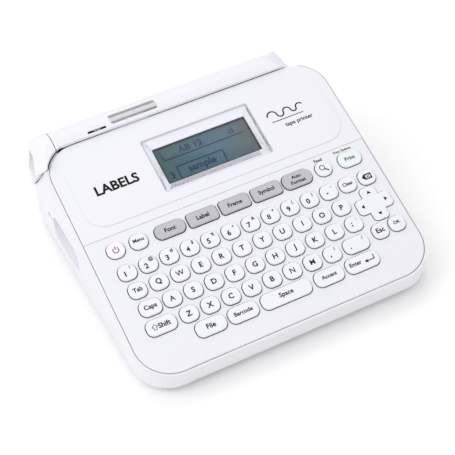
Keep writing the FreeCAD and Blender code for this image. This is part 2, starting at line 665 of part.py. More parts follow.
def takeup_spindle():
    wheel = gear(spindle_x, spindle_z, 11.7, 36, 0)
    shaft = rod("y", spindle_x, gear_y, spindle_z, 2.0, 8.0)
    hub = rod("y", spindle_x, 59.9, spindle_z, 3.6, 16.0)
    ribs = [box(spindle_x - 0.5, spindle_x + 0.5, 60.5, 75.9, spindle_z - 4.2, spindle_z + 4.2)]
    ribs.append(box(spindle_x - 4.2, spindle_x + 4.2, 60.5, 75.9, spindle_z - 0.5, spindle_z + 0.5))
    return wheel.fuse([shaft, hub] + ribs).removeSplitter()


def tape_cassette():
    x0, x1 = -55.5, 30.5
    profile = [(60.2, 10), (60.2, 65), (74.0, 65), (79.8, 59.4), (79.8, 10)]
    body = yz_prism(profile, x0, x1)
    body = body.cut(box(x0 - 1, x0 + 9, 59, 82, 9, 34))
    recess = [rod("y", x, 78.9, z, r, 2) for x, z, r in ((-22, 36, 17), (12, 30, 11))]
    hole = rod("y", spindle_x, 58, spindle_z, 4.6, 18.6)
    reel = rod("y", -14, 58, 40, 5.0, 8)
    return body.cut(recess + [hole, reel])


def fixed_blade():
    return box(-89.0, -88.2, 60.5, 78.8, 42.0, tape_z - 1.4)


def moving_blade():
    points = [(60.8, tape_z + 2.6), (60.8, tape_z + 7.2), (75.5, tape_z + 7.2), (79.6, tape_z + 4.6),
              (79.6, tape_z + 3.2)]
    return yz_prism(points, -88.1, -87.3)


def cutter_motor():
    can = rod("y", -84.6, 62.8, 19.0, 5.6, 18.0)
    cradle = box(-89.5, -80.6, 66, 78, floor_z, 15.0).cut(rod("y", -84.6, 60, 19.0, 5.6, 30))
    return can.fuse([cradle, rod("y", -84.6, 80.5, 19.0, 1.2, 2.5)]).removeSplitter()


def rubber_feet():
    return Part.makeCompound([rod("z", x, y, 0, 5.0, base_z) for x in (-78, 78) for y in (-68, 50)])


def case_screws():
    screws = []
    for x, y in column_places:
        tip = face_height(y, skin) - 1.0
        head = rod("z", x, y, 3.6, 2.9, 2.4).cut(box(x - 2, x + 2, y - 0.4, y + 0.4, 3, 4.4))
        screws.append(head.fuse(rod("z", x, y, 5.9, 1.3, tip - 5.9)).removeSplitter())
    return Part.makeCompound(screws)


def hinge_pins():
    left = rod("x", -82.2, hinge_y, hinge_z, pin_radius, 9.0)
    right = rod("x", cover_right - 7.0, hinge_y, hinge_z, pin_radius, 9.2)
    return Part.makeCompound([left, right])


pieces = {
    "lower_case": lower_case, "keyboard_cover": keyboard_cover, "display_cover": display_cover,
    "tape_cover": tape_cover, "tape_window": tape_window, "display_lens": display_lens,
    "exit_housing": exit_housing, "battery_cover": battery_cover, "rubber_feet": rubber_feet,
    "case_screws": case_screws, "hinge_pins": hinge_pins, "lcd_module": lcd_module,
    "lcd_frame": lcd_frame, "main_board": main_board, "keypad_sheet": keypad_sheet,
    "key_board": key_board, "battery_terminals": battery_terminals, "battery_cells": battery_cells,
    "dc_jack": dc_jack, "usb_socket": usb_socket, "tape_bay": tape_bay,
    "tape_cassette": tape_cassette, "print_head": print_head, "platen_roller": platen_roller,
    "platen_gear": platen_gear, "roller_holder": roller_holder, "feed_motor": feed_motor,
    "motor_pinion": motor_pinion, "idler_gear": idler_gear, "takeup_spindle": takeup_spindle,
    "fixed_blade": fixed_blade, "moving_blade": moving_blade, "cutter_motor": cutter_motor,
    "arrow_pad": arrow_pad, "arrow_pivot": arrow_pivot,
}


def export(name, shape):
    if not shape.isValid() or shape.Volume <= 0:
        print("CHECK", name, "valid", shape.isValid(), "volume", round(shape.Volume, 2))
    shape.exportStep("parts/%s.step" % name)
    return shape.BoundBox


os.makedirs("parts", exist_ok=True)
whole = FreeCAD.BoundBox()
for name, make in pieces.items():
    whole.add(export(name, make()))
for key in single_keys:
    whole.add(export(key[0], key_cap(*key[1:])))
for name, row, first, pitch, count, last_width in key_rows:
    caps = [key_cap(*outline) for outline in row_outlines(row, first, pitch, count, last_width)]
    whole.add(export(name, Part.makeCompound(caps)))
print("overall", [round(v, 2) for v in (whole.XMin, whole.XMax, whole.YMin, whole.YMax,
                                        whole.ZMin, whole.ZMax)])
print("crease", round(crease_y, 3), round(crease_z, 3))
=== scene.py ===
import json
import math

import bmesh
import bpy
from mathutils import Matrix, Quaternion, Vector

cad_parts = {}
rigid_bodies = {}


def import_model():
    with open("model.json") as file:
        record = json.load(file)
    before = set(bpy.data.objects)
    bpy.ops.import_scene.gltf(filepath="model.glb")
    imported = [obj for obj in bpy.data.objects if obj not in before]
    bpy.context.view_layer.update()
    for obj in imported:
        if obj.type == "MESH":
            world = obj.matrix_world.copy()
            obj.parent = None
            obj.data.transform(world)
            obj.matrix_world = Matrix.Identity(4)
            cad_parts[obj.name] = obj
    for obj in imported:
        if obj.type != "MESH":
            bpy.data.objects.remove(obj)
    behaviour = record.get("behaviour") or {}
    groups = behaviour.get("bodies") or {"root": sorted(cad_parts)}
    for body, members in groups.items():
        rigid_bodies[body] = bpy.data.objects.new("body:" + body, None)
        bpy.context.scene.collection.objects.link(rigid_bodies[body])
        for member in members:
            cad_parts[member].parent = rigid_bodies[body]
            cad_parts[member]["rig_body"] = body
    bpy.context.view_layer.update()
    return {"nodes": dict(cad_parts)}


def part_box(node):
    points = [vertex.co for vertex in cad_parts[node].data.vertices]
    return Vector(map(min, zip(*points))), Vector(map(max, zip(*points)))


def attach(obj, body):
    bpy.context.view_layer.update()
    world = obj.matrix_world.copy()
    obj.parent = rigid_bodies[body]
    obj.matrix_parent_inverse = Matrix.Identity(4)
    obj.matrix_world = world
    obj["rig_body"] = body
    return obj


for leftOver in list(bpy.data.objects):
    bpy.data.objects.remove(leftOver)
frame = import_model()
nodes = frame["nodes"]
mm = 0.001
print("frame loaded:", len(nodes), "nodes")


def linear(hexColour):
    channels = [int(hexColour[i:i + 2], 16) / 255 for i in (1, 3, 5)]
    return [c / 12.92 if c <= 0.04045 else ((c + 0.055) / 1.055) ** 2.4 for c in channels] + [1.0]


def addNode(material, kind, settings=None, inputs=None, links=None):
    node = material.node_tree.nodes.new(kind)
    for name, value in (settings or {}).items():
        setattr(node, name, value)
    for name, value in (inputs or {}).items():
        node.inputs[name].default_value = value
    for name, socket in (links or {}).items():
        material.node_tree.links.new(socket, node.inputs[name])
    return node


def newMaterial(name):
    material = bpy.data.materials.new(name)
    material.use_nodes = True
    material.node_tree.nodes.clear()
    return material


def output(material, shader):
    addNode(material, "ShaderNodeOutputMaterial", links={"Surface": shader})
    return material


slopes = {
    # tilt in degrees, then the front edge of the face: y and z in millimetres
    "keys": {"tilt": 19.5, "y": -87.0, "z": 18.5},
    "panel": {"tilt": 17.7, "y": -2.162, "z": 48.543},
}


def slopeMatrix(name):
    slope = slopes[name]
    return (Matrix.Translation((0, slope["y"] * mm, slope["z"] * mm))
            @ Matrix.Rotation(math.radians(slope["tilt"]), 4, "X"))


onKeys, onPanel = slopeMatrix("keys"), slopeMatrix("panel")


def shadeBelowCoverFace(material, place, capColour, look):
    # painted shade: the keys turn dark grey from a little below the face of the cover downwards, standing in
    # for the shadow in the gaps round them
    normal = onKeys.to_3x3() @ Vector((0, 0, 1))
    height = addNode(material, "ShaderNodeVectorMath", {"operation": "DOT_PRODUCT"},
                     {1: normal}, {0: place})
    level = onKeys.translation.dot(normal)
    share = addNode(material, "ShaderNodeMapRange", inputs={
        "From Min": level - look["bareTo"] * mm, "From Max": level - look["noShadeAbove"] * mm},
        links={"Value": height.outputs["Value"]})
    both = addNode(material, "ShaderNodeMix", {"data_type": "RGBA"}, links={0: share.outputs[0]})
    both.inputs[6].default_value = linear(look["bare"])
    material.node_tree.links.new(capColour, both.inputs[7])
    return both.outputs[2]


# how far the grain moves the roughness either way, and its depth in mm
moulding = {"glossSpread": 0.07, "grainDepth": 0.05, "ior": 1.53}


def mouldedPlastic(name, look):
    # injection-moulded plastic: an even colour, a fine spark-eroded grain that breaks the gloss up,
    # and slow changes in shade where the melt cooled at different rates
    material = newMaterial(name)
    place = addNode(material, "ShaderNodeTexCoord").outputs["Object"]
    slow = addNode(material, "ShaderNodeTexNoise", inputs={"Scale": 1 / (look["patch"] * mm), "Detail": 2.0},
                   links={"Vector": place})
    grain = addNode(material, "ShaderNodeTexNoise", inputs={"Scale": 1 / (look["grain"] * mm), "Detail": 3.0},
                    links={"Vector": place})
    shade = addNode(material, "ShaderNodeMix", {"data_type": "RGBA"}, links={0: slow.outputs[0]})
    shade.inputs[6].default_value = linear(look["colour"])
    shade.inputs[7].default_value = linear(look["other"])
    colour = shade.outputs[2]
    # keys only: painted shade darkens the colour below the face of the cover
    if "bare" in look:
        colour = shadeBelowCoverFace(material, place, colour, look)
    gloss = addNode(material, "ShaderNodeMapRange", inputs={
        "To Min": look["rough"] - moulding["glossSpread"],
        "To Max": look["rough"] + moulding["glossSpread"]}, links={"Value": grain.outputs[0]})
    bump = addNode(material, "ShaderNodeBump", inputs={
        "Strength": look["bump"], "Distance": moulding["grainDepth"] * mm},
        links={"Height": grain.outputs[0]})
    shader = addNode(material, "ShaderNodeBsdfPrincipled", inputs={"IOR": look.get("ior", moulding["ior"])},
                     links={"Base Color": colour, "Roughness": gloss.outputs[0],
                            "Normal": bump.outputs[0]})
    return output(material, shader.outputs[0])


# how far the sheet departs from flat, and how soon its face starts to mirror as it turns away
clearSheet = {"waviness": 0.06, "waveDepth": 0.05, "turning": 0.35}


def clearPlastic(name, look):
    # clear moulded sheet: it is seen through, with a polished face that mirrors the lamps at a low angle
    material = newMaterial(name)
    place = addNode(material, "ShaderNodeTexCoord").outputs["Object"]
    waves = addNode(material, "ShaderNodeTexNoise", inputs={"Scale": 1 / (look["wave"] * mm), "Detail": 1.0},
                    links={"Vector": place})
    bump = addNode(material, "ShaderNodeBump", inputs={
        "Strength": clearSheet["waviness"], "Distance": clearSheet["waveDepth"] * mm},
        links={"Height": waves.outputs[0]})
    clear = addNode(material, "ShaderNodeBsdfTransparent")
    clear.inputs[0].default_value = linear(look["tint"])
    mirror = addNode(material, "ShaderNodeBsdfGlossy", inputs={"Roughness": look["rough"]},
                     links={"Normal": bump.outputs[0]})
    grazing = addNode(material, "ShaderNodeLayerWeight",
                      inputs={"Blend": clearSheet["turning"]}).outputs["Facing"]
    share = addNode(material, "ShaderNodeMapRange", inputs={
        "To Min": look["mirror"], "To Max": look["grazingMirror"]}, links={"Value": grazing})
    # only the outer side of a face mirrors
    inside = addNode(material, "ShaderNodeNewGeometry").outputs["Backfacing"]
    outer = addNode(material, "ShaderNodeMath", {"operation": "SUBTRACT"}, {0: 1.0}, {1: inside})
    edge = addNode(material, "ShaderNodeMath", {"operation": "MULTIPLY"},
                   links={0: share.outputs[0], 1: outer.outputs[0]})
    both = addNode(material, "ShaderNodeMixShader", links={
        0: edge.outputs[0], 1: clear.outputs[0], 2: mirror.outputs[0]})
    return output(material, both.outputs[0])


# how much smoother and rougher the lines make the metal, and their strength and depth in mm
rolling = {"smoother": 0.1, "rougher": 0.12, "strength": 0.2, "depth": 0.02}


def metal(name, look):
    # drawn or stamped metal: a clear mirror colour with fine rolling lines along its length
    material = newMaterial(name)
    place = addNode(material, "ShaderNodeTexCoord").outputs["Object"]
    stretch = addNode(material, "ShaderNodeMapping", inputs={"Scale": look["stretch"]},
                      links={"Vector": place})
    lines = addNode(material, "ShaderNodeTexNoise", inputs={"Scale": 1 / (look["line"] * mm), "Detail": 4.0},
                    links={"Vector": stretch.outputs[0]})
    gloss = addNode(material, "ShaderNodeMapRange", inputs={
        "To Min": look["rough"] - rolling["smoother"],
        "To Max": look["rough"] + rolling["rougher"]}, links={"Value": lines.outputs[0]})
    bump = addNode(material, "ShaderNodeBump", inputs={
        "Strength": rolling["strength"], "Distance": rolling["depth"] * mm},
        links={"Height": lines.outputs[0]})
    shader = addNode(material, "ShaderNodeBsdfPrincipled", inputs={
        "Base Color": linear(look["colour"]), "Metallic": 1.0},
        links={"Roughness": gloss.outputs[0], "Normal": bump.outputs[0]})
    return output(material, shader.outputs[0])


def displayGlass(name, look):
    # the face of a reflective liquid-crystal cell: greenish to blue-grey across its width,
    # with the faint grid of its dots
    material = newMaterial(name)
    place = addNode(material, "ShaderNodeTexCoord").outputs["Object"]
    axes = addNode(material, "ShaderNodeSeparateXYZ", links={"Vector": place})
    low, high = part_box("lcd_frame")
    across = addNode(material, "ShaderNodeMapRange", inputs={"From Min": low.x, "From Max": high.x},
                     links={"Value": axes.outputs[0]})
    ramp = addNode(material, "ShaderNodeValToRGB", links={"Fac": across.outputs[0]})
    stops = look["across"]
    while len(ramp.color_ramp.elements) < len(stops):
        ramp.color_ramp.elements.new(0.5)
    for element, (spot, colour) in zip(ramp.color_ramp.elements, stops):
        element.position = spot
        element.color = linear(colour)
    cloud = addNode(material, "ShaderNodeTexNoise", inputs={"Scale": 1 / (look["cloud"] * mm), "Detail": 1.0},
                    links={"Vector": place})
    tone = addNode(material, "ShaderNodeMapRange", inputs={
        "To Min": look["cloudFrom"], "To Max": look["cloudTo"]}, links={"Value": cloud.outputs[0]})
    scaled = addNode(material, "ShaderNodeVectorMath", {"operation": "SCALE"},
                     links={0: ramp.outputs[0], "Scale": tone.outputs[0]})
    dots = addNode(material, "ShaderNodeTexBrick", {"offset": 0.0}, {
        "Scale": 1.0, "Mortar Size": look["dot"] * look["gap"] * mm, "Brick Width": look["dot"] * mm,
        "Row Height": look["dot"] * mm, "Color1": (1, 1, 1, 1), "Color2": (1, 1, 1, 1),
        "Mortar": look["gapShade"]},
        {"Vector": place})
    both = addNode(material, "ShaderNodeMix", {"data_type": "RGBA", "blend_type": "MULTIPLY"},
                   inputs={0: 1.0})
    material.node_tree.links.new(scaled.outputs[0], both.inputs[6])
    material.node_tree.links.new(dots.outputs[0], both.inputs[7])
    shader = addNode(material, "ShaderNodeBsdfPrincipled", inputs={
        "Roughness": look["rough"], "IOR": look["ior"]}, links={"Base Color": both.outputs[2]})
    return output(material, shader.outputs[0])


# painted shade in the gaps round the keys: its dark grey, and where it is full and where it stops, in mm
# under the face of the cover
keyGapShade = {"bare": "#26272b", "bareTo": 0.35, "noShadeAbove": -0.1}

# what the four finishes of the keys have in common, the painted gap shade included
keyFinishAndGapShade = {"rough": 0.42, "grain": 0.3, "bump": 0.1, **keyGapShade}

finishes = {
    # slot: (function, material name, look); sizes in millimetres
    "case_plastic": (mouldedPlastic, "abs_white_spark_eroded", {
        "colour": "#e6e6eb", "other": "#e2e2e8", "rough": 0.5, "patch": 45, "grain": 0.45, "bump": 0.16}),
    "cover_plastic": (mouldedPlastic, "abs_white_fine_grained", {
        "colour": "#e7e7ed", "other": "#e3e3ea", "rough": 0.46, "patch": 50, "grain": 0.4, "bump": 0.14}),
    # the four key finishes below are painted dark low on their sides, as shade in the gaps round the keys
    "white_key": (mouldedPlastic, "silicone_white_gap_shade_painted", {
        "colour": "#ebebf1", "other": "#e6e6ee", "patch": 14, **keyFinishAndGapShade}),
    "grey_key": (mouldedPlastic, "silicone_grey_gap_shade_painted", {
        "colour": "#bcbcc2", "other": "#b5b5bc", "patch": 12, **keyFinishAndGapShade}),
    "pink_key": (mouldedPlastic, "silicone_pink_gap_shade_painted", {
        "colour": "#f4edf3", "other": "#f0e8ef", "patch": 12, **keyFinishAndGapShade}),
    "green_key": (mouldedPlastic, "silicone_pale_green_gap_shade_painted", {
        "colour": "#e8eced", "other": "#e3e9ea", "patch": 12, **keyFinishAndGapShade}),
    "grey_rubber": (mouldedPlastic, "elastomer_grey_moulded", {
        "colour": "#7d7f83", "other": "#73757a", "rough": 0.82, "patch": 5, "grain": 0.25, "bump": 0.5}),
    "roller_rubber": (mouldedPlastic, "silicone_black_ground", {
        "colour": "#2b2c2e", "other": "#36373a", "rough": 0.75, "patch": 3, "grain": 0.2, "bump": 0.45}),
    "dark_plastic": (mouldedPlastic, "polycarbonate_black_moulded", {
        "colour": "#1b1c1f", "other": "#242529", "rough": 0.48, "patch": 20, "grain": 0.4, "bump": 0.2}),
    "gear_plastic": (mouldedPlastic, "acetal_natural_moulded", {
        "colour": "#e9e5d8", "other": "#dfdbcd", "rough": 0.36, "patch": 6, "grain": 0.3, "bump": 0.12}),
    "cassette_plastic": (mouldedPlastic, "polystyrene_grey_moulded", {
        "colour": "#8d8f94", "other": "#83858b", "rough": 0.4, "patch": 16, "grain": 0.4, "bump": 0.2}),
    "circuit_board": (mouldedPlastic, "glass_epoxy_green_lacquered", {
        "colour": "#1e5a3a", "other": "#2b6d48", "rough": 0.35, "patch": 7, "grain": 0.6, "bump": 0.3}),
    "battery_jacket": (mouldedPlastic, "pvc_jacket_printed", {
        "colour": "#34383f", "other": "#3d4249", "rough": 0.3, "patch": 20, "grain": 0.8, "bump": 0.1}),
    "steel": (metal, "steel_zinc_plated", {
        "colour": "#b9bcc0", "rough": 0.32, "line": 0.35, "stretch": (0.15, 1, 1)}),
    "head_aluminium": (metal, "aluminium_extruded", {
        "colour": "#c9cbcd", "rough": 0.38, "line": 0.4, "stretch": (1, 1, 0.12)}),
    "brass": (metal, "brass_turned", {
        "colour": "#c9a35a", "rough": 0.3, "line": 0.25, "stretch": (0.2, 1, 1)}),
    "window_plastic": (clearPlastic, "polycarbonate_smoky_clear", {
        "tint": "#f3f3f5", "rough": 0.12, "mirror": 0.42, "grazingMirror": 0.7, "wave": 9}),
    "lens_plastic": (clearPlastic, "acrylic_clear_polished", {
        "tint": "#fdfdfe", "rough": 0.05, "mirror": 0.012, "grazingMirror": 0.22, "wave": 14}),
    "lcd_glass": (displayGlass, "liquid_crystal_cell", {
        "across": [(0.0, "#43605f"), (0.3, "#44656c"), (0.62, "#4b6a7c"), (0.85, "#566568"),
                   (1.0, "#5b6062")],
        "cloud": 16, "cloudFrom": 0.9, "cloudTo": 1.12, "dot": 0.42, "gap": 0.07,
        "gapShade": (0.84, 0.86, 0.88, 1), "rough": 0.22, "ior": 1.25}),
}

materials = {}
for slotName, (make, materialName, look) in finishes.items():
    materials[slotName] = make(materialName, look)
for name, node in nodes.items():
    for materialSlot in node.material_slots:
        slotName = materialSlot.material.name.split(".")[0] if materialSlot.material else ""
        if slotName not in materials:
            raise RuntimeError(f"{name} has the unknown slot {slotName!r}")
        materialSlot.material = materials[slotName]
print("materials given to", len(nodes), "nodes")

inkLook = {
    "black": {"colour": "#101014", "other": "#17181c"},
    "green": {"colour": "#1d5a45", "other": "#256350"},
    "plum": {"colour": "#4b2a3c", "other": "#543347"},
    "cell": {"colour": "#10264a", "other": "#182f52"},
    "pale": {"colour": "#8b8c92", "other": "#82838a"},
    "grey": {"colour": "#9fa0a5", "other": "#95969c"},
    "white": {"colour": "#eeeef0", "other": "#e8e8eb"},
}
# pad-printed ink: a thin even film with a dull face
inkFilm = {"rough": 0.55, "patch": 3, "grain": 0.35, "bump": 0.1, "ior": 1.25}
inks = {}
for name, look in inkLook.items():
    inks[name] = mouldedPlastic("pad_printed_ink_" + name, {**inkFilm, **look})


# mm of film, mm of it in the plastic, how near two corners are to be one, and how finely
# a letter's curves and a round stroke are divided
printing = {"film": 0.05, "sink": 0.01, "join": 0.0005, "letterSteps": 3, "arcStep": 15, "arcSteps": 6}


def lettering(words, size, weight):
    curve = bpy.data.curves.new("lettering", "FONT")
    curve.body = words
    curve.size = size * mm
    curve.offset = weight * mm
    curve.resolution_u = printing["letterSteps"]
    curve.extrude = printing["film"] / 2 * mm
    curve.align_x = "CENTER"
    holder = bpy.data.objects.new("lettering", curve)
    data = bpy.data.meshes.new_from_object(holder)
    bpy.data.objects.remove(holder)
    bpy.data.curves.remove(curve)
    mark = bmesh.new()
    mark.from_mesh(data)
    bpy.data.meshes.remove(data)
    # the sides of a letter are joined to its faces, so that it is one closed body
    bmesh.ops.remove_doubles(mark, verts=mark.verts, dist=printing["join"] * mm)
    return mark


class Marks:
    # a mesh that print is collected in, each mark drawn flat and then laid on its surface

    def __init__(self, name):
        self.name = name
        self.mesh = bmesh.new()

    def lay(self, mark, place):
        lift = Matrix.Translation((0, 0, (printing["film"] / 2 - printing["sink"]) * mm))
        bmesh.ops.transform(mark, matrix=place @ lift, verts=mark.verts)
        data = bpy.data.meshes.new("mark")
        mark.to_mesh(data)
        mark.free()
        self.mesh.from_mesh(data)
        bpy.data.meshes.remove(data)

    def text(self, words, place, size=4.0, width=None, weight=0.1):
        mark = lettering(words, size, weight)
        left, right = min(v.co.x for v in mark.verts), max(v.co.x for v in mark.verts)
        low, high = min(v.co.y for v in mark.verts), max(v.co.y for v in mark.verts)
        bmesh.ops.translate(mark, vec=(-(left + right) / 2, -(low + high) / 2, 0), verts=mark.verts)
        if width:
            factor = width * mm / (right - left)
            bmesh.ops.scale(mark, vec=(factor, factor, 1), verts=mark.verts)
        self.lay(mark, place)

    def shape(self, corners, place):
        # a flat outline given thickness
        mark = bmesh.new()
        thin = printing["film"] / 2 * mm
        ring = [mark.verts.new((x * mm, y * mm, -thin)) for x, y in corners]
        face = mark.faces.new(ring)
        raised = bmesh.ops.extrude_face_region(mark, geom=[face], use_keep_orig=True)["geom"]
        bmesh.ops.translate(mark, vec=(0, 0, 2 * thin),
                            verts=[g for g in raised if isinstance(g, bmesh.types.BMVert)])
        self.lay(mark, place)

    def bar(self, x0, y0, x1, y1, width, place):
        # a straight stroke from one point to the other
        along = Vector((x1 - x0, y1 - y0)).normalized() * width / 2
        side = Vector((-along.y, along.x))
        self.shape([(x0 - side.x, y0 - side.y), (x1 - side.x, y1 - side.y),
                    (x1 + side.x, y1 + side.y), (x0 + side.x, y0 + side.y)], place)

    def arc(self, x, y, radius, width, start, sweep, place):
        # a round stroke, from the start angle through the sweep, in degrees
        mark = bmesh.new()
        thin = printing["film"] / 2 * mm
        inner, outer = (radius - width / 2) * mm, (radius + width / 2) * mm
        section = [mark.verts.new(p) for p in (
            (inner, 0, -thin), (outer, 0, -thin), (outer, 0, thin), (inner, 0, thin))]
        face = mark.faces.new(section)
        steps = max(printing["arcSteps"], int(abs(sweep) / printing["arcStep"]))
        bmesh.ops.spin(mark, geom=[face] + list(face.edges) + section, cent=(0, 0, 0), axis=(0, 0, 1),
                       angle=math.radians(sweep), steps=steps, use_merge=abs(sweep) >= 360)
        bmesh.ops.transform(mark, matrix=Matrix.Translation((x * mm, y * mm, 0))
                            @ Matrix.Rotation(math.radians(start), 4, "Z"), verts=mark.verts)
        self.lay(mark, place)

    def finish(self, body, ink):
        bmesh.ops.holes_fill(self.mesh, edges=self.mesh.edges, sides=4)
        bmesh.ops.recalc_face_normals(self.mesh, faces=self.mesh.faces)
        data = bpy.data.meshes.new(self.name)
        self.mesh.to_mesh(data)
        self.mesh.free()
        data.materials.append(inks[ink])
        piece = bpy.data.objects.new(self.name, data)
        bpy.context.scene.collection.objects.link(piece)
        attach(piece, body)


def at(matrix, x, y, height=0.0):
    return matrix @ Matrix.Translation((x * mm, y * mm, height * mm))


flatWithin = 0.05      # mm under its highest point that still counts as the flat of a cap


def capFace(nodeName, matrix=onKeys):
    # the flat top of a cap or row of caps, seen square to the slope, in millimetres
    away = matrix.inverted()
    points = [away @ v.co / mm for v in nodes[nodeName].data.vertices]
    top = max(p.z for p in points)
    flat = [p for p in points if p.z > top - flatWithin]
    xs, ys = [p.x for p in flat], [p.y for p in flat]
    return {"left": min(xs), "right": max(xs), "x": (min(xs) + max(xs)) / 2,
            "y": (min(ys) + max(ys)) / 2, "top": top}


def bodyOf(nodeName):
    return nodes[nodeName]["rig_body"]


print("slopes ready")

legends = {
    # height of a letter and of a small sign, how much a stroke is thickened, and where both
    # stand on the cap, in mm; the narrow ones would fill in, so they are thickened less
    "letter": 4.5, "sign": 2.9, "weight": 0.13, "wordWeight": 0.11,
    "narrowWeight": 0.07, "narrow": "AMNW4#&@8",
    "signX": 2.5, "signY": 2.35, "digitX": -1.3, "digitY": -0.75,
    # the wide cap has its full stop and its sign further apart, and low signs sit lower
    "stopX": -4.2, "stopSignX": 4.6, "lowY": -1.5, "semicolonY": -0.4,
}

rowLegends = {
    # what each cap says: (main sign, small sign), left to right
    "number_row_keys": [("1", "!"), ("2", "@"), ("3", "#"), ("4", "$"), ("5", "%"), ("6", "^"),
                        ("7", "&"), ("8", "*"), ("9", "("), ("0", ")"), ("-", "'")],
    "q_row_keys": [(letter, "") for letter in "QWERTYUIOP"],
    "a_row_keys": [(letter, "") for letter in "ASDFGHJKL"] + [(";", ":")],
    "z_row_keys": [(letter, "") for letter in "ZXCVBNM"] + [(",", "?"), (".", "/")],
}
rowPitch = {"number_row_keys": 12.83, "q_row_keys": 12.93, "a_row_keys": 12.83, "z_row_keys": 12.87}
capFlat = 9.3          # mm across the flat of a letter cap
wideCapFlat = 14.8     # and of the wide cap that ends the lowest letter row

for row, caps in rowLegends.items():
    face = capFace(row)
    marks = Marks(row + "_legend")
    for i, (main, small) in enumerate(caps):
        x = face["left"] + capFlat / 2 + rowPitch[row] * i
        reach = legends["signX"]
        dx, dy = (legends["digitX"], legends["digitY"]) if small else (0.0, 0.0)
        if main == ".":
            x = face["right"] - wideCapFlat / 2
            dx, reach = legends["stopX"], legends["stopSignX"]
        if main in ",.;":
            dy = legends["semicolonY" if main == ";" else "lowY"]
        weight = legends["narrowWeight" if main in legends["narrow"] else "weight"]
        marks.text(main, at(onKeys, x + dx, face["y"] + dy, face["top"]), size=legends["letter"],
                   weight=weight)
        if small:
            marks.text(small, at(onKeys, x + reach, face["y"] + legends["signY"], face["top"]),
                       size=legends["sign"], weight=legends["narrowWeight"])
    marks.finish(bodyOf(row), "black")
print("letter and number legends printed")

wordLegends = {
    # cap: lines of (words, width in mm, x, y) from the middle of the cap, then the ink
    "menu_key": ([("Menu", 6.6, 0, 0.7)], "black"),
    "font_key": ([("Font", 6.9, 0, 0)], "black"),
    "label_key": ([("Label", 7.8, 0, 0)], "black"),
    "frame_key": ([("Frame", 8.9, 0, 0)], "black"),
    "symbol_key": ([("Symbol", 10.2, 0, 0)], "black"),
    "auto_format_key": ([("Auto", 6.0, 0, 1.75), ("Format", 9.4, 0, -1.65)], "black"),
    "print_key": ([("Print", 6.6, 0, 0.1)], "green"),
    "clear_key": ([("Clear", 6.9, 0, 0.2)], "black"),
    "tab_key": ([("Tab", 5.6, 0, 0.2)], "black"),
    "caps_key": ([("Caps", 7.6, 0, 0)], "black"),
    "shift_key": ([("Shift", 7.3, 1.7, 0)], "black"),
    "escape_key": ([("Esc", 5.4, 0, 0.3)], "black"),
    "ok_key": ([("OK", 4.4, 0, 0.5)], "black"),
    "file_key": ([("File", 5.4, 0, 0.2)], "black"),
    "barcode_key": ([("Barcode", 11.2, 0, 0.2)], "black"),
    "space_key": ([("Space", 8.8, 0, 0.2)], "black"),
    "accent_key": ([("Accent", 9.6, 0, 0.2)], "black"),
    "enter_key": ([("Enter", 7.6, -4.4, 0.4)], "black"),
    "power_key": ([], "plum"),
    "feed_key": ([], "black"),
    "backspace_key": ([], "black"),
}


def powerSign(marks, spot):
    marks.arc(0, -0.2, 1.7, 0.5, 125, 290, spot)
    marks.bar(0, 0.1, 0, 2.3, 0.5, spot)


def magnifierSign(marks, spot):
    marks.arc(-0.7, 0.7, 1.55, 0.45, 0, 360, spot)
    marks.bar(0.5, -0.5, 2.6, -2.3, 0.75, spot)


def backspaceSign(marks, spot):
    # a tag pointing left, in outline, with a cross in it
    marks.shape([(-3.3, 0), (-1.5, 1.9), (-1.5, -1.9)], spot)
    for y in (1.5, -1.5):
        marks.bar(-1.6, y, 2.9, y, 0.8, spot)
    marks.bar(2.6, -1.8, 2.6, 1.8, 0.8, spot)
    marks.bar(-1.4, -1.8, -1.4, 1.8, 0.8, spot)
    marks.bar(-0.5, -0.8, 1.7, 0.8, 0.4, spot)
    marks.bar(-0.5, 0.8, 1.7, -0.8, 0.4, spot)


def shiftSign(marks, spot):
    # an open arrow pointing up
    outline = [(0, 1.8), (1.7, 0.1), (0.8, 0.1), (0.8, -1.5), (-0.8, -1.5), (-0.8, 0.1), (-1.7, 0.1)]
    for (x0, y0), (x1, y1) in zip(outline, outline[1:] + outline[:1]):
        marks.bar(x0 - 3.9, y0, x1 - 3.9, y1, 0.32, spot)


def enterSign(marks, spot):
    # an arrow that turns back to the left
    marks.shape([(1.2, -0.6), (3.2, 0.6), (3.2, -1.8)], spot)
    marks.bar(2.8, -0.6, 7.7, -0.6, 0.55, spot)
    marks.bar(7.45, -0.6, 7.45, 2.2, 0.55, spot)


signs = {"power_key": powerSign, "feed_key": magnifierSign, "backspace_key": backspaceSign,
         "shift_key": shiftSign, "enter_key": enterSign}

for cap, (lines, ink) in wordLegends.items():
    face = capFace(cap)
    marks = Marks(cap + "_legend")
    spot = at(onKeys, face["x"], face["y"], face["top"])
    for words, width, x, y in lines:
        marks.text(words, at(spot, x, y), width=width, weight=legends["wordWeight"])
    if cap in signs:
        signs[cap](marks, spot)
    marks.finish(bodyOf(cap), ink)

face = capFace("arrow_pad")
marks = Marks("arrow_pad_legend")
arrow = {"reach": 7.6, "half": 1.35, "length": 1.9}
for quarter in range(4):
    turn = at(onKeys, face["x"], face["y"], face["top"]) @ Matrix.Rotation(quarter * math.pi / 2, 4, "Z")
    tail, tip = arrow["reach"] - arrow["length"] / 2, arrow["reach"] + arrow["length"] / 2
    marks.shape([(tail, -arrow["half"]), (tip, 0), (tail, arrow["half"])], turn)
marks.finish(bodyOf("arrow_pad"), "black")
print("function legends printed")

coverPrint = Marks("cover_print")
feed, printCap = capFace("feed_key"), capFace("print_key")
coverPrint.text("Feed", at(onKeys, feed["x"] - 0.3, feed["y"] + 6.6), width=5.2, weight=0.1)
coverPrint.text("Print Options", at(onKeys, printCap["x"] - 1.3, printCap["y"] + 6.9), width=11.6,
                weight=0.1)
coverPrint.finish("case", "black")

